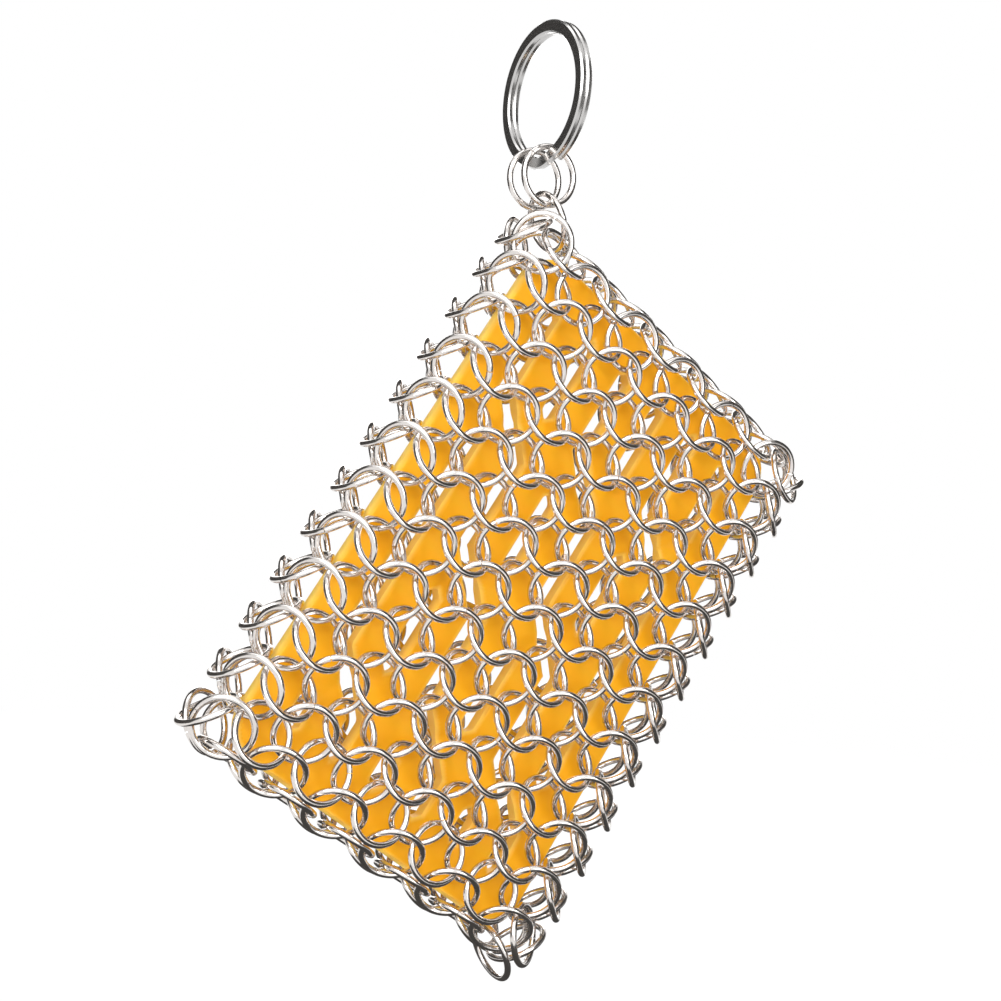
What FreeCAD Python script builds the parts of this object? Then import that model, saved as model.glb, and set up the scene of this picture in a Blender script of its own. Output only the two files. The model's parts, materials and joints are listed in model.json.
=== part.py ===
import FreeCAD, Part
import math
import os
from FreeCAD import Placement, Rotation, Vector

# A pot scrubber: a flat pouch of round steel rings woven four into one, a silicone pad inside it,
# two loose rings that carry one corner of the pouch, and a split ring to hang it by.
# Z is up, the front of the pouch looks along -Y, and the origin is the place on the split ring's
# inner top where a hook carries it. Sizes are in millimetres and degrees.

DRIVING_SIZES = (
    ("ring_outside", 10.0, "outside diameter of one mail ring"),
    ("wire", 1.0, "thickness of the mail ring wire"),
    ("seam_angle", 1.6, "opening of the butt joint in each mail ring"),
    ("split_outside", 23.0, "outside diameter of the split ring"),
    ("leaf_width", 2.0, "width of the split ring strip, measured along its radius"),
    ("leaf_thickness", 1.0, "thickness of the split ring strip, measured along its axis"),
    ("leaf_gap", 0.06, "play between the two turns of the split ring"),
    ("leaf_chamfer", 0.25, "broken edges of the split ring strip"),
    ("hang_clearance", 0.15, "play between a ring and the ring that it hangs on"),
    ("hanger_spread", 4.2, "distance between the two hanger rings"),
    ("pad_face_clearance", 1.44, "play between the pad's faces and the mail"),
    ("pad_side_clearance", 0.9, "play between the pad's long edges and the mail"),
    ("pad_end_clearance", 0.8, "play between the pad's short edges and the closing rings"),
    ("pad_corner", 6.0, "corner radius of the pad"),
    ("pad_border", 6.6, "width of the plain strip along the pad's long edges"),
    ("pad_end_border", 6.5, "width of the plain strip along the pad's short edges"),
    ("pad_edge", 0.6, "rounding of the pad's rim"),
    ("slot_width", 2.5, "width of a slot in the pad"),
    ("crossing_step", 23.5, "distance between two lines of crossings in the pad's slots"),
    ("crossing_drop", 4.4, "distance of the middle line of crossings below the pad's middle"),
)

# The weave repeats, so it is counted.
ROW_PAIRS = 12
LAST_COLUMN = 13
FOLD_COLUMNS = 4
SLOT_FILES = 6
SLOT_CROSSINGS = 3

# Places in the weave, in mean ring radii. A lift moves a ring up, a depth puts it in front of the
# pouch's middle plane, and an inset is counted from the fold of the nearest side edge.
COLUMN_STEP_RATIO = 1.292
ROW_STEP_RATIO = 0.899
FACE_DEPTH_RATIO = 1.258
FOLD_ARC_TO_SIDE_RATIO = 1.079
FOLD_ARC_TO_FACE_RATIO = 1.025
FOLD_LIFT_RATIO = 0.05
SIDE_LIFT_RATIO = 0.294
TOP_DEPTH_RATIO = 1.13
TOP_LIFT_RATIO = -0.24
TOP_TURN_INSET_RATIO = 0.13
TOP_TURN_LIFT_RATIO = -0.14
TOP_SIDE_INSET_RATIO = 0.473
TOP_SIDE_DEPTH_RATIO = 0.84
TOP_SIDE_LIFT_RATIO = 0.285
BOTTOM_DEPTH_RATIO = 0.836
BOTTOM_LIFT_RATIO = 0.337
BOTTOM_FOLD_LIFT_RATIO = 0.364
BOTTOM_SIDE_INSET_RATIO = 0.444
BOTTOM_SIDE_DEPTH_RATIO = 0.727
BOTTOM_SIDE_LIFT_RATIO = 0.571
CLOSING_DROP_RATIO = 0.87
CLOSING_TURN_DROP_RATIO = 0.915
CORNER_INSET_RATIO = 0.569
CORNER_DROP_RATIO = 0.378
LOW_CORNER_INSET_RATIO = 0.72
LOW_CORNER_DROP_RATIO = 0.52

# Angles in the weave, in degrees. A lean brings a ring's upper arc forward, and a facing turns the
# ring to look towards the side edge that it is near.
FACE_LEAN_ANGLE = 27.0
FOLD_LEAN_ANGLE = 31.0
SIDE_LEAN_ANGLE = 37.0
TOP_LEAN_ANGLE = 7.5
TOP_TURN_LEAN_ANGLE = 18.0
TOP_FOLD_LEAN_ANGLE = 33.7
TOP_SIDE_LEAN_ANGLE = 24.6
TOP_SIDE_FACING_ANGLE = 31.3
BOTTOM_LEAN_ANGLE = 42.6
BOTTOM_FOLD_LEAN_ANGLE = 29.5
BOTTOM_SIDE_LEAN_ANGLE = 31.6
BOTTOM_SIDE_FACING_ANGLE = 19.1
CORNER_SLANT_ANGLE = 37.5
LOW_CORNER_SLANT_ANGLE = 36.0

# The butt joints of neighbouring rings point in unlike directions.
SEAM_TURN_ANGLE = 137.5
# The split ring's strip runs straight round, and crosses from one turn to the other in this angle,
# at the bottom between the hanger rings.
TURN_CROSSING_ANGLE = 44.0
PATH_POINTS = 80

AXIS_X = Vector(1, 0, 0)
AXIS_Y = Vector(0, 1, 0)
AXIS_Z = Vector(0, 0, 1)

document = FreeCAD.newDocument("pot_scrubber")
sizes = document.addObject("Spreadsheet::Sheet", "sizes")
for line, (alias, value, meaning) in enumerate(DRIVING_SIZES, start=1):
    sizes.set(f"A{line}", meaning)
    sizes.set(f"B{line}", str(value))
    sizes.setAlias(f"B{line}", alias)
document.recompute()


def size(alias):
    """One driving size, as the sheet holds it."""
    return float(sizes.get(alias))


# The weave's own measures, all from the ring.
radius = (size("ring_outside") - size("wire")) / 2
wire_radius = size("wire") / 2
column_step = COLUMN_STEP_RATIO * radius
row_step = ROW_STEP_RATIO * radius
face_depth = FACE_DEPTH_RATIO * radius
side_angle = FOLD_ARC_TO_SIDE_RATIO / FACE_DEPTH_RATIO
side_inset = face_depth * (1 - math.cos(side_angle))
side_depth = face_depth * math.sin(side_angle)
side_facing = 90 - math.degrees(side_angle)
fold_arc = (FOLD_ARC_TO_SIDE_RATIO + FOLD_ARC_TO_FACE_RATIO) * radius
turn_inset = fold_arc + face_depth * (1 - math.pi / 2)
half_width = turn_inset + (LAST_COLUMN - FOLD_COLUMNS) * column_step / 2
half_length = (2 * ROW_PAIRS + 1) * row_step / 2

# The split ring hangs from its inner top, the hanger rings hang in its inner bottom, and the
# pouch's corner ring hangs in the hanger rings.
split_inner = size("split_outside") / 2 - size("leaf_width")
split_pitch = size("leaf_thickness") + size("leaf_gap")
bar_half = (split_pitch + size("leaf_thickness")) / 2 - size("leaf_chamfer")
hanger_offset = size("hanger_spread") / 2
bar_rise = math.sqrt(split_inner ** 2 - (hanger_offset + wire_radius) ** 2)
hanger_hold = math.sqrt((radius - wire_radius - size("hang_clearance")) ** 2 - bar_half ** 2)
hanger_height = -split_inner - bar_rise - hanger_hold
corner_sag = radius - math.sqrt(radius ** 2 - (hanger_offset + wire_radius) ** 2)
hook_height = hanger_height - radius + size("wire") + corner_sag + size("hang_clearance")


def corner_ring(inset, drop, slant):
    """Place of a closing ring at a corner of the pouch, seen from the pouch's middle."""
    centre = Vector(-half_width + inset * radius, 0, half_length - drop * radius)
    return Placement(centre, Rotation(AXIS_Y, slant))


hanging_corner = corner_ring(CORNER_INSET_RATIO, CORNER_DROP_RATIO, CORNER_SLANT_ANGLE)
low_corner = corner_ring(LOW_CORNER_INSET_RATIO, LOW_CORNER_DROP_RATIO, LOW_CORNER_SLANT_ANGLE)
hook = hanging_corner.multVec(Vector(-radius, 0, 0))
hang_angle = math.degrees(math.atan2(-hook.x, hook.z))
pouch_centre = Vector(0, 0, hook_height - hook.Length)
pouch = Placement(pouch_centre, Rotation(AXIS_Y, hang_angle))


def leaning(x, depth, z, facing, lean, behind=False):
    """A ring that stands in the front layer, or in the back layer as its mirror image."""
    turn = 180 + facing if behind else -facing
    place = Vector(x, depth if behind else -depth, z)
    return Placement(place, Rotation(AXIS_Z, turn) * Rotation(AXIS_X, 90 + lean))


def column_place(column):
    """Distance of a face column from the pouch's middle."""
    return -half_width + turn_inset + (column - 2) * column_step


def row_ring(column, pair):
    """Where a ring of an even row stands: x, depth, z, facing and lean."""
    z = half_length - 2 * row_step * pair
    first = pair == 1
    last = pair == ROW_PAIRS
    if column == LAST_COLUMN:
        lift = BOTTOM_FOLD_LIFT_RATIO if last else FOLD_LIFT_RATIO
        lean = BOTTOM_FOLD_LEAN_ANGLE if last else TOP_FOLD_LEAN_ANGLE if first else FOLD_LEAN_ANGLE
        return half_width, 0, z + lift * radius, -90, lean
    if column == 1 and first:
        x = -half_width + TOP_SIDE_INSET_RATIO * radius
        z += TOP_SIDE_LIFT_RATIO * radius
        return x, TOP_SIDE_DEPTH_RATIO * radius, z, TOP_SIDE_FACING_ANGLE, TOP_SIDE_LEAN_ANGLE
    if column == 1 and last:
        x = -half_width + BOTTOM_SIDE_INSET_RATIO * radius
        z += BOTTOM_SIDE_LIFT_RATIO * radius
        return x, BOTTOM_SIDE_DEPTH_RATIO * radius, z, BOTTOM_SIDE_FACING_ANGLE, BOTTOM_SIDE_LEAN_ANGLE
    if column == 1:
        z += SIDE_LIFT_RATIO * radius
        return -half_width + side_inset, side_depth, z, side_facing, SIDE_LEAN_ANGLE
    x = column_place(column)
    beside_fold = column == LAST_COLUMN - 2
    if first and beside_fold:
        x -= TOP_TURN_INSET_RATIO * radius
        return x, TOP_DEPTH_RATIO * radius, z + TOP_TURN_LIFT_RATIO * radius, 0, TOP_TURN_LEAN_ANGLE
    if first:
        return x, TOP_DEPTH_RATIO * radius, z + TOP_LIFT_RATIO * radius, 0, TOP_LEAN_ANGLE
    if last:
        return x, BOTTOM_DEPTH_RATIO * radius, z + BOTTOM_LIFT_RATIO * radius, 0, BOTTOM_LEAN_ANGLE
    if beside_fold:
        return x, face_depth, z + FOLD_LIFT_RATIO * radius, 0, FOLD_LEAN_ANGLE
    return x, face_depth, z, 0, FACE_LEAN_ANGLE


def even_row(pair):
    """Places of the rings of one even row, round the whole pouch."""
    places = []
    for column in range(1, LAST_COLUMN + 1, 2):
        stand = row_ring(column, pair)
        places.append(leaning(*stand))
        if column != LAST_COLUMN:
            places.append(leaning(*stand, behind=True))
    return places


def top_closing(corner):
    """Places of the rings that join the front and back layers along the top edge, from its corner on."""
    places = [corner]
    for column in range(3, LAST_COLUMN, 2):
        drop = CLOSING_TURN_DROP_RATIO if column == LAST_COLUMN - 2 else CLOSING_DROP_RATIO
        places.append(Placement(Vector(column_place(column), 0, half_length - drop * radius), Rotation()))
    return places


def half_turned(places):
    """The same places after half a turn of the pouch: the weave is alike from both ends."""
    half_turn = Placement(Vector(), Rotation(AXIS_Y, 180))
    return [half_turn * place for place in places]


def add_ring(name, place, count):
    """One round ring with its butt joint turned to a place of its own."""
    ring = document.addObject("Part::Torus", name)
    ring.setExpression("Radius1", "(sizes.ring_outside - sizes.wire) / 2")
    ring.setExpression("Radius2", "sizes.wire / 2")
    ring.setExpression("Angle3", "360 - sizes.seam_angle")
    ring.Placement = place * Placement(Vector(), Rotation(AXIS_Z, SEAM_TURN_ANGLE * count))
    return ring


def add_rings(label, places, first_count):
    """A row of separate rings as one piece of the document."""
    rings = [add_ring(f"{label}_ring", place, first_count + count) for count, place in enumerate(places)]
    group = document.addObject("Part::Compound", label)
    group.Links = rings
    return group


def add_split_ring():
    """Two turns of a flat strip that cross over from one turn to the other."""
    middle = split_inner + size("leaf_width") / 2
    half_crossing = math.radians(TURN_CROSSING_ANGLE) / 2
    span = 4 * math.pi - 2 * half_crossing
    points = []
    for step in range(PATH_POINTS + 1):
        angle = half_crossing + span * step / PATH_POINTS
        share = (angle - 2 * math.pi + half_crossing) / (2 * half_crossing)
        share = min(max(share, 0), 1)
        shift = split_pitch * (share * share * (3 - 2 * share) - 0.5)
        points.append(Vector(middle * math.cos(angle), middle * math.sin(angle), shift))
    curve = Part.BSplineCurve()
    curve.interpolate(points)
    outward = Vector(points[0].x, points[0].y, 0).normalize()
    wide = size("leaf_width") / 2
    thick = size("leaf_thickness") / 2
    edge = size("leaf_chamfer")
    outline = ((wide, thick - edge), (wide - edge, thick), (edge - wide, thick), (-wide, thick - edge),
               (-wide, edge - thick), (edge - wide, -thick), (wide - edge, -thick), (wide, edge - thick))
    corners = [points[0] + outward * across + AXIS_Z * along for across, along in outline]
    # The strip keeps its flat sides square to the ring's axis all the way round.
    pipe = Part.BRepOffsetAPI.MakePipeShell(Part.Wire([curve.toShape()]))
    pipe.setBiNormalMode(AXIS_Z)
    pipe.add(Part.makePolygon(corners + corners[:1]))
    pipe.build()
    pipe.makeSolid()
    strip = document.addObject("Part::Feature", "split_ring")
    strip.Shape = pipe.shape()
    strip.Placement = Placement(Vector(0, 0, -split_inner), Rotation(AXIS_Y, 90))
    return strip


def slot_paths(files, crossings, reach):
    """Paths of the pad's slots from tip to tip, each running down its file. At a crossing of two files,
    the slot on the left goes over to the file on the right, and its neighbours stop short of it."""
    half_pitch = (files[1] - files[0]) / 2
    last_file = len(files) - 1
    starts = [(file, 0, reach) for file in range(len(files))]
    for line, height in enumerate(crossings):
        starts += [(file, line + 1, height - half_pitch) for file in range(line % 2, last_file, 2)]
    paths = []
    for file, next_line, top in starts:
        path = [Vector(files[file], 0, top)]
        bottom = -reach
        for line in range(next_line, len(crossings)):
            on_the_left = (file - line) % 2 == 0
            if on_the_left and file < last_file:
                path.append(Vector(files[file], 0, crossings[line] + half_pitch))
                file += 1
                path.append(Vector(files[file], 0, crossings[line] - half_pitch))
            elif not on_the_left and file > 0:
                bottom = crossings[line] + half_pitch
                break
        path.append(Vector(files[file], 0, bottom))
        paths.append(path)
    return paths


def slot_outline(path):
    """Outline of a slot of even width along a path, with roof-shaped ends."""
    half_slot = size("slot_width") / 2
    tips = [path[0], path[-1]]
    bends = [path[0] - AXIS_Z * half_slot] + path[1:-1] + [path[-1] + AXIS_Z * half_slot]
    headings = [(after - before).normalize() for before, after in zip(path, path[1:])]
    sides = []
    for before, after in zip(headings[:1] + headings, headings + headings[-1:]):
        mean = before + after
        sides.append(AXIS_Y.cross(mean) * (2 * half_slot / mean.dot(mean)))
    right = [bend - side for bend, side in zip(bends, sides)]
    left = [bend + side for bend, side in zip(bends, sides)]
    return tips[:1] + right + tips[1:] + left[::-1]


def add_slot(path, thickness):
    """One slot cutter that reaches through the pad."""
    outline = document.addObject("Part::Polygon", "slot_outline")
    outline.Nodes = [point - AXIS_Y * thickness for point in slot_outline(path)]
    outline.Close = True
    cutter = document.addObject("Part::Extrusion", "slot")
    cutter.Base = outline
    cutter.DirMode = "Custom"
    cutter.Dir = AXIS_Y
    cutter.LengthFwd = 2 * thickness
    cutter.Solid = True
    return cutter


def add_pad():
    """The silicone pad: a rounded plate with files of slots that cross over at an angle."""
    fold_reach = radius * math.sin(math.radians(FOLD_LEAN_ANGLE)) + wire_radius
    thickness = 2 * (face_depth - fold_reach - size("pad_face_clearance"))
    width = 2 * (half_width - fold_reach - size("pad_side_clearance"))
    length = 2 * (half_length - CLOSING_DROP_RATIO * radius - wire_radius - size("pad_end_clearance"))
    block = document.addObject("Part::Box", "pad_block")
    block.Length = width
    block.Width = thickness
    block.Height = length
    block.Placement.Base = Vector(-width / 2, -thickness / 2, -length / 2)
    document.recompute()
    rounded = document.addObject("Part::Fillet", "pad_rounded")
    rounded.Base = block
    edges = []
    for number, edge in enumerate(block.Shape.Edges, start=1):
        through = abs(edge.Length - thickness) < 1e-6
        bend = size("pad_corner") if through else size("pad_edge")
        edges.append((number, bend, bend))
    rounded.Edges = edges
    pitch = (width - 2 * size("pad_border") - size("slot_width")) / (SLOT_FILES - 1)
    files = [(file - (SLOT_FILES - 1) / 2) * pitch for file in range(SLOT_FILES)]
    first_crossing = (SLOT_CROSSINGS - 1) / 2 * size("crossing_step") - size("crossing_drop")
    crossings = [first_crossing - line * size("crossing_step") for line in range(SLOT_CROSSINGS)]
    paths = slot_paths(files, crossings, length / 2 - size("pad_end_border"))
    slots = document.addObject("Part::Compound", "pad_slots")
    slots.Links = [add_slot(path, thickness) for path in paths]
    pad = document.addObject("Part::Cut", "silicone_pad")
    pad.Base = rounded
    pad.Tool = slots
    pad.Placement = pouch
    return pad


def add_pouch():
    """All rows of the woven pouch from the top edge to the bottom edge."""
    rows = [("top_closing_row", top_closing(hanging_corner))]
    for pair in range(1, ROW_PAIRS + 1):
        rows.append((f"mail_row_{2 * pair - 1:02d}", half_turned(even_row(ROW_PAIRS + 1 - pair))))
        rows.append((f"mail_row_{2 * pair:02d}", even_row(pair)))
    rows.append(("bottom_closing_row", half_turned(top_closing(low_corner))))
    pieces = []
    count = 0
    for label, places in rows:
        pieces.append(add_rings(label, [pouch * place for place in places], count))
        count += len(places)
    return pieces


def add_hangers():
    """The two loose rings side by side between the pouch's corner and the split ring."""
    upright = Rotation(AXIS_X, 90)
    places = [Placement(Vector(0, side * hanger_offset, hanger_height), upright) for side in (-1, 1)]
    return add_rings("hanger_rings", places, 1)


pieces = add_pouch() + [add_hangers(), add_split_ring(), add_pad()]
document.recompute()

for item in document.Objects:
    if "Invalid" in item.State or "Error" in item.State:
        raise RuntimeError(f"{item.Label} did not build")
for piece in pieces:
    if piece.Shape.isNull() or not piece.Shape.isValid():
        raise RuntimeError(f"{piece.Label} has no sound shape")

os.makedirs("parts", exist_ok=True)
for piece in pieces:
    piece.Shape.exportStep(f"parts/{piece.Label}.step")
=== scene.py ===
import json
import math

import bpy
import numpy as np
from bpy.props import FloatProperty, FloatVectorProperty, IntProperty, PointerProperty
from mathutils import Matrix, Vector


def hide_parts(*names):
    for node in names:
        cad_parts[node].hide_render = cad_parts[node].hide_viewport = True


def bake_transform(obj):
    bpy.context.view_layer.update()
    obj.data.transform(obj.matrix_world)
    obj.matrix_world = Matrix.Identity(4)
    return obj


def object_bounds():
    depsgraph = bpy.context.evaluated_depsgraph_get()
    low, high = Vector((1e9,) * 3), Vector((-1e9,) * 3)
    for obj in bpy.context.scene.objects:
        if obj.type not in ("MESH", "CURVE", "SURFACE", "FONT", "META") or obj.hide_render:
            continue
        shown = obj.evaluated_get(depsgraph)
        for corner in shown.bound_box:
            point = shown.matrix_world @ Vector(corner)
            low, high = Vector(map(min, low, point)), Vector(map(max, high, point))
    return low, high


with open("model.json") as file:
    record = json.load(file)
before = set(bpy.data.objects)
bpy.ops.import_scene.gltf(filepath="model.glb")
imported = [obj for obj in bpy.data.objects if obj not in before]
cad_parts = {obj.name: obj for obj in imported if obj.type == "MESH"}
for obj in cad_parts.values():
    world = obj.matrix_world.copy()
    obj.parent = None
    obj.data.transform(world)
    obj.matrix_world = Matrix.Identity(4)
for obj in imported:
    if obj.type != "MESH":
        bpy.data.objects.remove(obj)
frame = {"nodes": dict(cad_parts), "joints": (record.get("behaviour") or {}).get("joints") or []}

bl_info = {
    "name": "Pot scrubber",
    "version": (1, 0, 0),
    "blender": (4, 5, 0),
    "location": "3D View > Sidebar > Scrubber",
    "description": "Finishes a ring mail pot scrubber with its silicone pad and photographs it",
    "category": "Object",
}

CAD_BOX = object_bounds()

# The pouch hangs at a slant: these directions run across it, through it and up it.
BENDS = [joint for joint in frame["joints"] if joint["name"].startswith("mail_bend")]
ACROSS = np.array(BENDS[0]["axis"], float)
THROUGH = np.array((0.0, 1.0, 0.0))
UPWARD = np.cross(ACROSS, THROUGH)
DIRECTIONS = np.stack((ACROSS, THROUGH, UPWARD))
MAIL_NODES = sorted(name for name in frame["nodes"] if "row" in name)

# Spare grid points beyond the pad's rim, and the angle from which an edge between faces stays sharp.
GRID_MARGIN = 3
SHARP_ANGLE = math.radians(40)

# Noise scales in features per metre, and the detail of soft and of fine patterns.
SMUDGE_SCALE = 260.0
WIRE_GRAIN_SCALE = 5200.0
STRIP_GRAIN_SCALE = 3600.0
MOTTLE_SCALE = 90.0
SATIN_SCALE = 2600.0
SOFT_DETAIL = 3.0
FINE_DETAIL = 2.0

# Steel: the share of colour left where it is least smudged, and the shares of its roughness.
STEEL_DARKEST = 0.86
STEEL_EVEN = 0.75
STEEL_SMUDGE = 0.4
STEEL_GRAIN = 0.3

# Silicone: its least roughness, what grain and mottle add to it, and how strongly the painted light on the
# edges covers its colour.
SATIN_EVEN = 0.38
SATIN_GRAIN = 0.16
SATIN_MOTTLE = 0.06
PAINTED_EDGE_LIGHT_SHARE = 0.8

# Strength of the surroundings as a light. Seen or mirrored, it is 1.
WORLD_LIGHT = 0.65

# The floor's half side, the distances from the frame's origin between which the shadow on it fades out,
# and how white the floor is where the shadow is full.
FLOOR_REACH = 2.0
SHADOW_START = 0.25
SHADOW_END = 0.6
SHADOW_WHITE = 0.8

# Soft square lights: place from the scrubber's middle and side in metres, and power in watts.
LAMPS = {
    "key_light": ((-0.35, -0.45, 0.3), 0.5, 3.9),
    "fill_light": ((0.12, -0.62, 0.05), 0.3, 1.0),
    "back_light": ((0.3, 0.55, 0.2), 0.5, 1.6),
    "top_light": ((0.0, 0.1, 0.55), 0.5, 1.0),
}

# Dark cards: place from the scrubber's middle and two half sides in metres, each counted to the photo's
# right, away from its camera and up.
DARK_CARDS = {
    "dark_card_left": ((-0.34, 0.1, 0), ((0.03, 0.36, 0), (0, 0, 0.4))),
    "dark_card_right": ((0.34, 0.07, 0), ((-0.03, 0.36, 0), (0, 0, 0.4))),
    "dark_card_low": ((0.05, 0.03, -0.1), ((0.14, 0, 0), (0, 0.11, 0))),
    "dark_card_high": ((0, 0.3, 0.35), ((0.3, 0, 0), (0, 0.24, 0))),
}

# The photo's side in pixels, the camera's sensor in millimetres and the nearest it sees in metres.
PHOTO_SIDE = 1001
SENSOR_WIDTH = 36.0
CLIP_START = 0.01


def pad_solid():
    """Middle and half sizes of the pad's solid along the pouch's own directions."""
    mesh = frame["nodes"]["silicone_pad"].data
    points = np.empty(len(mesh.vertices) * 3)
    mesh.vertices.foreach_get("co", points)
    places = points.reshape(-1, 3) @ DIRECTIONS.T
    low, high = places.min(0), places.max(0)
    return (low + high) / 2, (high - low) / 2


PAD_MIDDLE, PAD_HALF = pad_solid()


class SteelSettings(bpy.types.PropertyGroup):
    """Finish of the rings and of the split ring."""

    ring_colour: FloatVectorProperty(
        name="Ring colour", description="Colour of the polished ring wire",
        default=(0.80, 0.76, 0.73), subtype="COLOR")
    ring_roughness: FloatProperty(
        name="Ring roughness", description="How blurred the wire's reflections are",
        default=0.13, subtype="FACTOR")
    strip_colour: FloatVectorProperty(
        name="Strip colour", description="Colour of the split ring's strip",
        default=(0.62, 0.61, 0.60), subtype="COLOR")
    strip_roughness: FloatProperty(
        name="Strip roughness", description="How blurred the strip's reflections are",
        default=0.2, subtype="FACTOR")


class PadSettings(bpy.types.PropertyGroup):
    """Sizes and colours of the silicone pad."""

    colour: FloatVectorProperty(
        name="Colour", description="Main colour of the silicone",
        default=(0.91, 0.39, 0.003), subtype="COLOR")
    pale_colour: FloatVectorProperty(
        name="Pale colour", description="Colour where the silicone looks thinner",
        default=(0.94, 0.46, 0.008), subtype="COLOR")
    # Painted light: a paler colour on the rim and the slots' walls that stands for light passing through the
    # thin silicone.
    edge_colour: FloatVectorProperty(
        name="Edge colour", description="Colour of the rim and the slots' walls, where light passes through",
        default=(1.0, 0.68, 0.14), subtype="COLOR")
    # How far the painted edge light reaches inward.
    edge_width: FloatProperty(
        name="Edge width", description="Width of the pale line along the edges",
        default=0.0006, unit="LENGTH")
    corner: FloatProperty(
        name="Corner", description="Corner radius of the pad", default=0.006, unit="LENGTH")
    rim_round: FloatProperty(
        name="Rim round", description="Rounding of the pad's outer rim", default=0.0006, unit="LENGTH")
    slot_round: FloatProperty(
        name="Slot round", description="Rounding of the slots' edges", default=0.0004, unit="LENGTH")
    border: FloatProperty(
        name="Border", description="Plain strip along the long edges", default=0.0066, unit="LENGTH")
    end_border: FloatProperty(
        name="End border", description="Plain strip along the short edges", default=0.0065, unit="LENGTH")
    slot_width: FloatProperty(
        name="Slot width", description="Width of a slot", default=0.0025, unit="LENGTH")
    crossing_step: FloatProperty(
        name="Crossing step", description="Distance between two lines of crossings",
        default=0.0235, unit="LENGTH")
    crossing_drop: FloatProperty(
        name="Crossing drop", description="Middle line of crossings below the pad's middle",
        default=0.0044, unit="LENGTH")
    files: IntProperty(name="Files", description="Files of slots side by side", default=6)
    crossings: IntProperty(name="Crossings", description="Lines of crossings in the slots", default=3)
    crease_depth: FloatProperty(
        name="Crease depth", description="Depth of the slanted creases", default=0.0005, unit="LENGTH")
    crease_width: FloatProperty(
        name="Crease width", description="Width of the slanted creases", default=0.0034, unit="LENGTH")
    cell: FloatProperty(
        name="Cell", description="Spacing of the surface's points", default=0.0004, unit="LENGTH")


class StageSettings(bpy.types.PropertyGroup):
    """Camera, light and surroundings."""

    azimuth: FloatProperty(
        name="Azimuth", description="Camera's turn round the scrubber",
        default=math.radians(-31.27), subtype="ANGLE")
    elevation: FloatProperty(
        name="Elevation", description="Camera's height angle", default=math.radians(-0.47), subtype="ANGLE")
    roll: FloatProperty(
        name="Roll", description="Camera's lean to one side", default=math.radians(3.07), subtype="ANGLE")
    distance: FloatProperty(
        name="Distance", description="From the camera to the point it looks at",
        default=0.26387, unit="LENGTH")
    aim: FloatVectorProperty(
        name="Aim", description="The point that the camera looks at",
        default=(-0.00434, 0.0, -0.07303), subtype="TRANSLATION")
    focal_pixels: FloatProperty(
        name="Focal length", description="Focal length in pixels of the photo", default=1709.0)
    floor_drop: FloatProperty(
        name="Floor drop", description="Distance of the floor under the scrubber",
        default=0.03, unit="LENGTH")
    white: FloatVectorProperty(
        name="White", description="Colour of the surroundings", default=(1.0, 1.0, 1.0), subtype="COLOR")
    floor_colour: FloatVectorProperty(
        name="Floor colour", description="Colour of the floor in the light",
        default=(0.9, 0.9, 0.9), subtype="COLOR")
    card_colour: FloatVectorProperty(
        name="Card colour", description="Colour of the dark cards",
        default=(0.04, 0.038, 0.036), subtype="COLOR")


class Signal:
    """An output socket that can stand in sums and products, which add their Math nodes."""

    def __init__(self, tree, socket):
        self.tree = tree
        self.socket = socket

    @staticmethod
    def node(tree, kind, settings, output=0, **inputs):
        """Adds a node of any kind: its settings first, then the values or links of its sockets."""
        node = tree.nodes.new(kind)
        for name, value in settings.items():
            setattr(node, name, value)
        fill_sockets(node, **inputs)
        return Signal(tree, node.outputs[output])

    def calculate(self, operation, first, second):
        """Adds one Math node and gives its result."""
        return Signal.node(self.tree, "ShaderNodeMath", {"operation": operation}, _0=first, _1=second)

    def __add__(self, other):
        return self.calculate("ADD", self, other)

    def __mul__(self, other):
        return self.calculate("MULTIPLY", self, other)

    __radd__ = __add__
    __rmul__ = __mul__


def fill_sockets(node, **inputs):
    """Sets or links a node's sockets, named with _ for each space, or numbered as _0, _1."""
    for name, value in inputs.items():
        socket = node.inputs[int(name[1:]) if name.startswith("_") else name.replace("_", " ")]
        if isinstance(value, Signal):
            value.tree.links.new(value.socket, socket)
        else:
            socket.default_value = value


def opaque(colour):
    """A colour with full cover, as a colour socket takes it."""
    return tuple(colour) + (1.0,)


def blank_material(name):
    """A new material with only its output and a Principled shader."""
    material = bpy.data.materials.new(name)
    material.use_nodes = True
    tree = material.node_tree
    shader = next(node for node in tree.nodes if node.type == "BSDF_PRINCIPLED")
    return material, tree, shader


def place_signal(tree):
    """Object coordinates, in metres."""
    return Signal.node(tree, "ShaderNodeTexCoord", {}, output="Object")


def noise(tree, place, scale, detail):
    """A cloudy value from 0 to 1 with features about 1 / scale metres across."""
    return Signal.node(tree, "ShaderNodeTexNoise", {}, Vector=place, Scale=scale, Detail=detail)


def mixed(tree, share, first, second):
    """A colour between two colours: the first where the share is 0, the second where it is 1."""
    return Signal.node(tree, "ShaderNodeMix", {"data_type": "RGBA"}, output=2, _0=share, _6=first, _7=second)


def steel(name, colour, roughness, grain_scale):
    """Polished steel: smudges change its colour and gloss, and faint rub marks break its reflections.
    The roughness is an even share of its full value plus a share of the smudges and one of the grain."""
    material, tree, shader = blank_material(name)
    place = place_signal(tree)
    smudge = noise(tree, place, SMUDGE_SCALE, SOFT_DETAIL)
    grain = noise(tree, place, grain_scale, FINE_DETAIL)
    darkest = opaque(STEEL_DARKEST * c for c in colour)
    blur = roughness * STEEL_EVEN + smudge * (roughness * STEEL_SMUDGE) + grain * (roughness * STEEL_GRAIN)
    bump = Signal.node(tree, "ShaderNodeBump", {}, Strength=0.06, Distance=0.00004, Height=grain)
    fill_sockets(shader, Base_Color=mixed(tree, smudge, darkest, opaque(colour)), Roughness=blur,
                 Normal=bump, Metallic=1.0)
    return material


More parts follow.
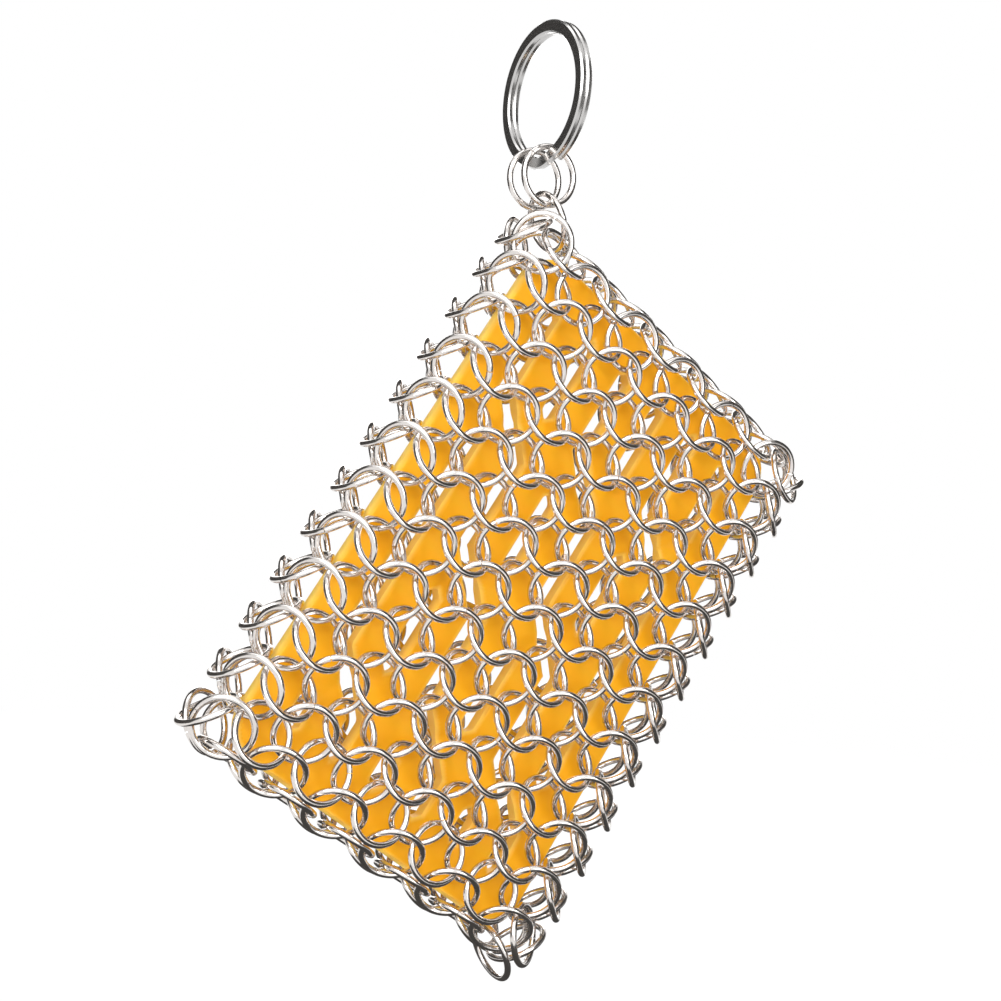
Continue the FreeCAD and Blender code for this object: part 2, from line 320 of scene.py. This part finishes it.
def silicone(settings):
    """Moulded silicone: softly mottled yellow with a fine satin grain, and painted light on its edges: a
    paler colour that stands for light passing through the thin silicone. The roughness is its least value
    plus a share of the grain and one of the mottle."""
    material, tree, shader = blank_material("silicone")
    place = place_signal(tree)
    mottle = noise(tree, place, MOTTLE_SCALE, SOFT_DETAIL)
    grain = noise(tree, place, SATIN_SCALE, FINE_DETAIL)
    # Share of painted edge light: 1 at the rim and the slots' walls, falling to 0 inward.
    edge = Signal.node(tree, "ShaderNodeAttribute", {"attribute_name": "edge"}, output="Fac")
    face = mixed(tree, mottle, opaque(settings.colour), opaque(settings.pale_colour))
    blur = SATIN_EVEN + grain * SATIN_GRAIN + mottle * SATIN_MOTTLE
    bump = Signal.node(tree, "ShaderNodeBump", {}, Strength=0.12, Distance=0.00005, Height=grain)
    fill_sockets(shader, Base_Color=mixed(tree, edge * PAINTED_EDGE_LIGHT_SHARE, face, opaque(settings.edge_colour)),
                 Roughness=blur, Normal=bump, Specular_IOR_Level=0.22, Subsurface_Weight=0.2,
                 Subsurface_Radius=(1.0, 0.45, 0.08), Subsurface_Scale=0.0012)
    return material


def dress(names, material):
    """Gives CAD nodes one material."""
    for name in names:
        mesh = frame["nodes"][name].data
        mesh.materials.clear()
        mesh.materials.append(material)


def rounded(distance, radius, full):
    """Half thickness at a distance from an edge: a quarter circle of the radius, then flat at full."""
    inside = radius - np.clip(distance, 0, radius)
    return full - radius + np.sqrt(radius * radius - inside * inside)


def rim_distance(x, z, settings):
    """Distance inward from the rim of a rectangle with round corners."""
    across = np.abs(x) - (PAD_HALF[0] - settings.corner)
    along = np.abs(z) - (PAD_HALF[2] - settings.corner)
    outside = np.hypot(np.maximum(across, 0), np.maximum(along, 0))
    return settings.corner - outside - np.minimum(np.maximum(across, along), 0)


def slot_runs(settings):
    """Runs of the pad's slots: upright ones as place across, low tip and high tip, and the middles of
    slanted ones. At a crossing, the slot on the left goes over to the file on the right, and the other
    slots stop short of it. Where a run goes over into a slanted one, its tip lies beyond the bend."""
    last = settings.files - 1
    half_pitch = (PAD_HALF[0] - settings.border - settings.slot_width / 2) / last
    across = [(2 * file - last) * half_pitch for file in range(settings.files)]
    lines = [((settings.crossings - 1) / 2 - line) * settings.crossing_step - settings.crossing_drop
             for line in range(settings.crossings)]
    reach = PAD_HALF[2] - settings.end_border
    over = settings.slot_width / math.sqrt(2)
    starts = [(file, 0, reach) for file in range(settings.files)]
    for line, height in enumerate(lines):
        starts += [(file, line + 1, height - half_pitch) for file in range(line % 2, last, 2)]
    upright, slanted = [], []
    for file, first_line, top in starts:
        low = -reach
        for line in range(first_line, settings.crossings):
            on_the_left = (file - line) % 2 == 0
            if on_the_left and file < last:
                upright.append((across[file], lines[line] + half_pitch - over, top))
                slanted.append((across[file] + half_pitch, lines[line]))
                file += 1
                top = lines[line] - half_pitch + over
            elif not on_the_left and file > 0:
                low = lines[line] + half_pitch
                break
        upright.append((across[file], low, top))
    return upright, slanted, half_pitch


def slanted_distances(x, z, place, height):
    """Distances from the middle of a slanted run, which falls to the right: along the run and across it."""
    along = np.abs(x - place - z + height) / math.sqrt(2)
    aside = np.abs(x - place + z - height) / math.sqrt(2)
    return along, aside


def slot_distance(x, z, settings):
    """Distance from the nearest slot: upright strips whose ends run to a point, and slanted strips."""
    upright, slanted, half_pitch = slot_runs(settings)
    half_width = settings.slot_width / 2
    nearest = np.full(np.broadcast(x, z).shape, np.inf)
    for place, low, high in upright:
        aside = np.abs(x - place)
        roof = (aside + np.abs(z - (low + high) / 2) - (high - low) / 2) / math.sqrt(2)
        nearest = np.minimum(nearest, np.maximum(aside - half_width, roof))
    for place, height in slanted:
        along, aside = slanted_distances(x, z, place, height)
        nearest = np.minimum(nearest, np.maximum(aside - half_width, along - half_pitch * math.sqrt(2)))
    return nearest


def crease(x, z, settings):
    """Depth of the creases that cross each slanted run: valleys with straight flanks, ending in points."""
    slanted, half_pitch = slot_runs(settings)[1:]
    deepest = np.zeros(np.broadcast(x, z).shape)
    for place, height in slanted:
        from_valley, from_run = slanted_distances(x, z, place, height)
        flank = 1 - 2 * from_valley / settings.crease_width
        end = (half_pitch * math.sqrt(2) - from_run) / settings.crease_width
        deepest = np.maximum(deepest, settings.crease_depth * np.clip(np.minimum(flank, end), 0, 1))
    return deepest


def pad_surface(settings):
    """The pad on a square grid. Grid points inside the pad are its faces, and each grid cell is one
    point of the sheet: its middle, or the mean of the edge crossings where the rim passes through it.
    Returns which grid points are inside, and each cell's x, z, half thickness and share of painted light,
    which stands for light passing through the thin silicone and falls from 1 at an edge to 0 at the
    light's width from it."""
    cell = settings.cell
    columns = int(PAD_HALF[0] / cell) + GRID_MARGIN
    rows = int(PAD_HALF[2] / cell) + GRID_MARGIN
    x = (np.arange(-columns, columns + 1) * cell)[None, :]
    z = (np.arange(-rows, rows + 1) * cell)[:, None]
    depth = np.minimum(rim_distance(x, z, settings), slot_distance(x, z, settings))
    spread_x = np.broadcast_to(x, depth.shape)
    spread_z = np.broadcast_to(z, depth.shape)
    total = np.zeros((3,) + tuple(n - 1 for n in depth.shape))
    corners = ((slice(None, -1), slice(None, -1)), (slice(None, -1), slice(1, None)),
               (slice(1, None), slice(1, None)), (slice(1, None), slice(None, -1)))
    for here, there in zip(corners, corners[1:] + corners[:1]):
        first, second = depth[here], depth[there]
        crossing = (first > 0) != (second > 0)
        share = np.where(crossing, first / np.where(crossing, first - second, 1), 0)
        total[0] += np.where(crossing, spread_x[here] + share * (spread_x[there] - spread_x[here]), 0)
        total[1] += np.where(crossing, spread_z[here] + share * (spread_z[there] - spread_z[here]), 0)
        total[2] += crossing
    cut = total[2] > 0
    count = np.maximum(total[2], 1)
    middle_x = np.where(cut, total[0] / count, (spread_x[corners[0]] + spread_x[corners[2]]) / 2)
    middle_z = np.where(cut, total[1] / count, (spread_z[corners[0]] + spread_z[corners[2]]) / 2)
    to_rim = rim_distance(middle_x, middle_z, settings)
    to_slot = slot_distance(middle_x, middle_z, settings)
    half = np.minimum(rounded(to_rim, settings.rim_round, PAD_HALF[1]),
                      rounded(to_slot, settings.slot_round, PAD_HALF[1]))
    # Painted light along the rim and the slots' walls: 1 at an edge, 0 at the light's width inside.
    painted_edge_light_share = 1 - np.clip(np.minimum(to_rim, to_slot) / settings.edge_width, 0, 1)
    return depth > 0, middle_x, middle_z, half - crease(middle_x, middle_z, settings), painted_edge_light_share


def pad_cuts():
    """Heights from the pad's middle where its parts end, from the top down: its upper end, halfway between
    each bend line and the next, and its lower end."""
    bends = [float(np.dot(joint["pos_m"], UPWARD) - PAD_MIDDLE[2]) for joint in BENDS]
    halfway = [(high + low) / 2 for high, low in zip(bends, bends[1:])]
    return [PAD_HALF[2]] + halfway + [-PAD_HALF[2]]


def pad_part(inside, first_row, last_row, points_shape):
    """Faces of the part of the pad between two grid rows: a front sheet, a back sheet and the walls
    that join them wherever a grid point inside has a neighbour outside."""
    rows = np.arange(inside.shape[0])[:, None]
    kept = inside & (rows >= first_row) & (rows < last_row)
    numbers = np.arange(points_shape[0] * points_shape[1]).reshape(points_shape)
    back = numbers.size
    row, column = np.nonzero(kept)
    sheet = np.stack((numbers[row - 1, column - 1], numbers[row - 1, column],
                      numbers[row, column], numbers[row, column - 1]), 1)
    faces = [sheet, sheet[:, ::-1] + back]
    for sign in (1, -1):
        row, column = np.nonzero(kept[:, :-1] & ~kept[:, 1:] if sign > 0 else ~kept[:, :-1] & kept[:, 1:])
        low, high = numbers[row - 1, column], numbers[row, column]
        faces.append(np.stack((low, low + back, high + back, high), 1)[:, ::sign])
        row, column = np.nonzero(kept[:-1] & ~kept[1:] if sign > 0 else ~kept[:-1] & kept[1:])
        left, right = numbers[row, column - 1], numbers[row, column]
        faces.append(np.stack((left, right, right + back, left + back), 1)[:, ::sign])
    return np.concatenate(faces)


def new_piece(name, points, faces, **point_values):
    """A mesh piece at the origin from arrays of points and four-sided faces, with named values on its
    points."""
    used, renumbered = np.unique(faces, return_inverse=True)
    mesh = bpy.data.meshes.new(name)
    mesh.from_pydata(points[used].tolist(), [], renumbered.reshape(faces.shape).tolist())
    mesh.update()
    mesh.shade_smooth()
    mesh.set_sharp_from_angle(angle=SHARP_ANGLE)
    for attribute, values in point_values.items():
        data = mesh.attributes.new(attribute, "FLOAT", "POINT").data
        data.foreach_set("value", values[used].astype(np.float32))
    piece = bpy.data.objects.new(name, mesh)
    bpy.context.scene.collection.objects.link(piece)
    return piece


class SCRUBBER_OT_mail(bpy.types.Operator):
    """Gives the mail rings and the hanger rings their polished wire finish"""

    bl_idname = "scrubber.mail"
    bl_label = "Mail rings"

    def execute(self, context):
        settings = context.scene.scrubber_steel
        material = steel("polished_wire", settings.ring_colour, settings.ring_roughness, WIRE_GRAIN_SCALE)
        dress(MAIL_NODES + ["hanger_rings"], material)
        return {"FINISHED"}


class SCRUBBER_OT_split_ring(bpy.types.Operator):
    """Gives the split ring its plated strip finish"""

    bl_idname = "scrubber.split_ring"
    bl_label = "Split ring"

    def execute(self, context):
        settings = context.scene.scrubber_steel
        material = steel("plated_strip", settings.strip_colour, settings.strip_roughness, STRIP_GRAIN_SCALE)
        dress(["split_ring"], material)
        return {"FINISHED"}


class SCRUBBER_OT_pad(bpy.types.Operator):
    """Builds the slotted silicone pad in parts, one for each bend line of the mail"""

    bl_idname = "scrubber.pad"
    bl_label = "Silicone pad"

    def execute(self, context):
        settings = context.scene.scrubber_pad
        material = silicone(settings)
        inside, x, z, half, painted_edge_light_share = pad_surface(settings)
        front = np.stack((x, -half, z), -1).reshape(-1, 3)
        back = front * (1, -1, 1)
        points = (np.concatenate((front, back)) + PAD_MIDDLE) @ DIRECTIONS
        # The painted edge light, the same on the front and the back sheet.
        edge = np.tile(painted_edge_light_share.ravel(), 2)
        cuts = pad_cuts()
        middle_row = (inside.shape[0] - 1) // 2
        rows = [middle_row + round(cut / settings.cell) for cut in cuts]
        rows[0], rows[-1] = inside.shape[0], 0
        for number, joint in enumerate(BENDS):
            faces = pad_part(inside, rows[number + 1], rows[number], x.shape)
            part = new_piece(f"silicone_pad_part_{number + 1:02d}", points, faces, edge=edge)
            part.data.materials.append(material)
            ends = [Vector((PAD_MIDDLE + (0, 0, cut)) @ DIRECTIONS) for cut in cuts[number:number + 2]]
            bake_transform(part)
            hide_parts("silicone_pad")
        return {"FINISHED"}


def add_lamp(name, place, target, side, power):
    """A square soft light that looks at a point and isn't seen itself."""
    data = bpy.data.lights.new(name, "AREA")
    data.size = side
    data.energy = power
    lamp = bpy.data.objects.new(name, data)
    lamp.location = place
    lamp.visible_camera = False
    lamp.rotation_euler = (target - place).to_track_quat("-Z", "Y").to_euler()
    bpy.context.scene.collection.objects.link(lamp)


def seen_directly(tree):
    """1 for what is seen straight, mirrored or through a clear piece, and 0 for what only gives light:
    the sum of the three kinds of ray, and at most 1."""
    kinds = ("Camera", "Glossy", "Transmission")
    rays = [Signal.node(tree, "ShaderNodeLightPath", {}, output=f"Is {kind} Ray") for kind in kinds]
    total = rays[0] + rays[1] + rays[2]
    return total.calculate("MINIMUM", total, 1.0)


def add_world(settings):
    """White surroundings for what the camera sees and for reflections, and softer light on matt surfaces."""
    world = bpy.data.worlds.new("studio")
    bpy.context.scene.world = world
    world.use_nodes = True
    background = next(node for node in world.node_tree.nodes if node.type == "BACKGROUND")
    strength = WORLD_LIGHT + seen_directly(world.node_tree) * (1 - WORLD_LIGHT)
    fill_sockets(background, Color=opaque(settings.white), Strength=strength)


def add_card(name, middle, half_sides, material):
    """A flat stage card: its middle, and the vectors from there to two of its edges."""
    corners = np.array(((-1, -1), (1, -1), (1, 1), (-1, 1)), float) @ np.array(half_sides, float) + middle
    card = new_piece(name, corners, np.array(((0, 1, 2, 3),)))
    card.data.materials.append(material)
    return card


def add_floor(settings):
    """A pale floor that the camera sees as white, with the scrubber's shadow on it: the white's share rises
    with the distance from the frame's origin, until the shadow is gone."""
    material, tree, shader = blank_material("pale_floor")
    fill_sockets(shader, Base_Color=opaque(settings.floor_colour), Roughness=0.9)
    away = Signal.node(tree, "ShaderNodeVectorMath", {"operation": "LENGTH"}, output="Value",
                       _0=place_signal(tree))
    white = Signal.node(tree, "ShaderNodeMapRange", {}, Value=away, From_Min=SHADOW_START,
                        From_Max=SHADOW_END, To_Min=SHADOW_WHITE, To_Max=1.0)
    glow = Signal.node(tree, "ShaderNodeEmission", {})
    surface = Signal.node(tree, "ShaderNodeMixShader", {}, Fac=seen_directly(tree) * white,
                          _1=Signal(tree, shader.outputs["BSDF"]), _2=glow)
    output = next(node for node in tree.nodes if node.type == "OUTPUT_MATERIAL")
    fill_sockets(output, Surface=surface)
    height = CAD_BOX[0].z - settings.floor_drop
    add_card("pale_floor", (0, 0, height), ((FLOOR_REACH, 0, 0), (0, FLOOR_REACH, 0)), material)


def add_dark_cards(settings, middle):
    """Dark cards that show only in reflections, where they draw the dark edges of the wires. They stand
    round the scrubber as the photo's camera sees it."""
    material, _, shader = blank_material("dark_card")
    fill_sockets(shader, Base_Color=opaque(settings.card_colour), Roughness=1.0)
    turned = Matrix.Rotation(settings.azimuth, 3, "Z")
    for name, (place, half_sides) in DARK_CARDS.items():
        sides = [turned @ Vector(side) for side in half_sides]
        card = add_card(name, middle + turned @ Vector(place), sides, material)
        card.visible_camera = False
        card.visible_diffuse = False
        card.visible_shadow = False
        card.visible_transmission = False


def add_camera(settings):
    """The photo's camera: turned round the scrubber, a little rolled, looking at the aim point."""
    turn, rise, roll = settings.azimuth, settings.elevation, settings.roll
    back = Vector((math.sin(turn) * math.cos(rise), -math.cos(turn) * math.cos(rise), math.sin(rise)))
    level = Vector((0, 0, 1)).cross(back).normalized()
    upright = back.cross(level)
    right = level * math.cos(roll) + upright * math.sin(roll)
    upward = upright * math.cos(roll) - level * math.sin(roll)
    data = bpy.data.cameras.new("photo_camera")
    data.sensor_width = SENSOR_WIDTH
    data.lens = settings.focal_pixels / PHOTO_SIDE * SENSOR_WIDTH
    data.clip_start = CLIP_START
    camera = bpy.data.objects.new("photo_camera", data)
    place = Vector(settings.aim) + back * settings.distance
    camera.matrix_world = Matrix.Translation(place) @ Matrix((right, upward, back)).transposed().to_4x4()
    bpy.context.scene.collection.objects.link(camera)
    bpy.context.scene.camera = camera


class SCRUBBER_OT_stage(bpy.types.Operator):
    """Sets up the floor, the cards, the soft studio light and the camera"""

    bl_idname = "scrubber.stage"
    bl_label = "Stage"

    def execute(self, context):
        settings = context.scene.scrubber_stage
        context.scene.view_settings.view_transform = "Standard"
        middle = (CAD_BOX[0] + CAD_BOX[1]) / 2
        add_world(settings)
        add_floor(settings)
        add_dark_cards(settings, middle)
        for name, (place, side, power) in LAMPS.items():
            add_lamp(name, middle + Vector(place), middle, side, power)
        add_camera(settings)
        return {"FINISHED"}


class SCRUBBER_PT_panel(bpy.types.Panel):
    """Lists the steps that finish the scrubber"""

    bl_label = "Pot scrubber"
    bl_idname = "SCRUBBER_PT_panel"
    bl_space_type = "VIEW_3D"
    bl_region_type = "UI"
    bl_category = "Scrubber"

    def draw(self, context):
        for operator in OPERATORS:
            self.layout.operator(operator.bl_idname)


OPERATORS = (SCRUBBER_OT_mail, SCRUBBER_OT_split_ring, SCRUBBER_OT_pad, SCRUBBER_OT_stage)
GROUPS = {"scrubber_steel": SteelSettings, "scrubber_pad": PadSettings, "scrubber_stage": StageSettings}


def register():
    """Adds the settings, the operators and the panel."""
    for name, group in GROUPS.items():
        bpy.utils.register_class(group)
        setattr(bpy.types.Scene, name, PointerProperty(type=group))
    for item in OPERATORS + (SCRUBBER_PT_panel,):
        bpy.utils.register_class(item)


def unregister():
    """Takes them out again."""
    for item in reversed(OPERATORS + (SCRUBBER_PT_panel,)):
        bpy.utils.unregister_class(item)
    for name, group in GROUPS.items():
        delattr(bpy.types.Scene, name)
        bpy.utils.unregister_class(group)


def main():
    """Builds the whole scene."""
    register()
    bpy.ops.scrubber.mail()
    bpy.ops.scrubber.split_ring()
    bpy.ops.scrubber.pad()
    bpy.ops.scrubber.stage()


if __name__ == "__main__":
    main()
